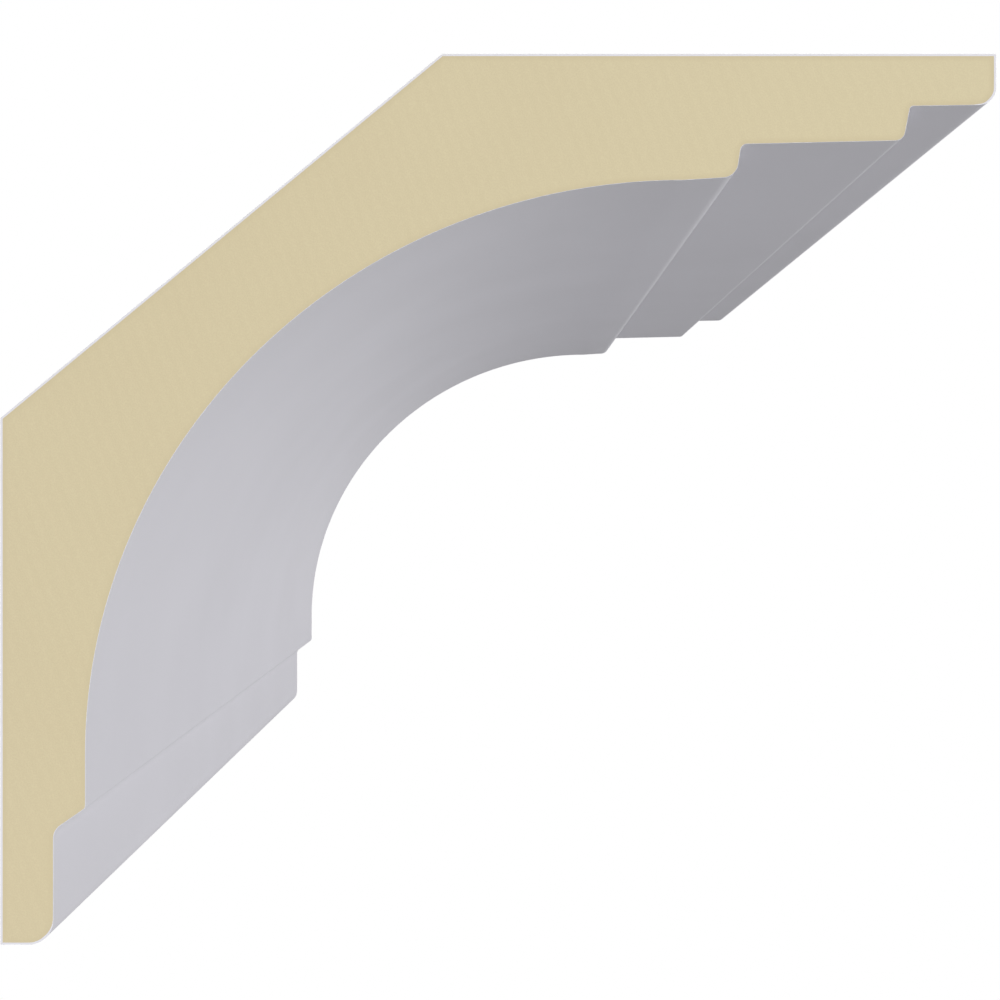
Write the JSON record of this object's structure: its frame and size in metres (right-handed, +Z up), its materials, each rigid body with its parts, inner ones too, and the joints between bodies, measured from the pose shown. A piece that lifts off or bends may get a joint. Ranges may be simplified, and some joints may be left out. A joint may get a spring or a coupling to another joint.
{
  "type": "cornice moulding length",
  "caption": "Short length of coved cornice moulding with stepped edges, square-cut ends and a sloping back, made to be fixed in the corner between a wall and a ceiling.",
  "frame": {"origin": "middle of the flat face that beds on the wall", "axes": "+X along the run, +Y into the wall, +Z up to the ceiling; the moulded face looks to -Y and down"},
  "size_m": [0.25, 0.1491, 0.1335],
  "materials": {
    "primed_foam": "white satin primer over cream rigid foam, bare foam on the cut ends"
  },
  "bodies": {
    "root": {"cornice_moulding": "primed_foam"}
  },
  "joints": []
}
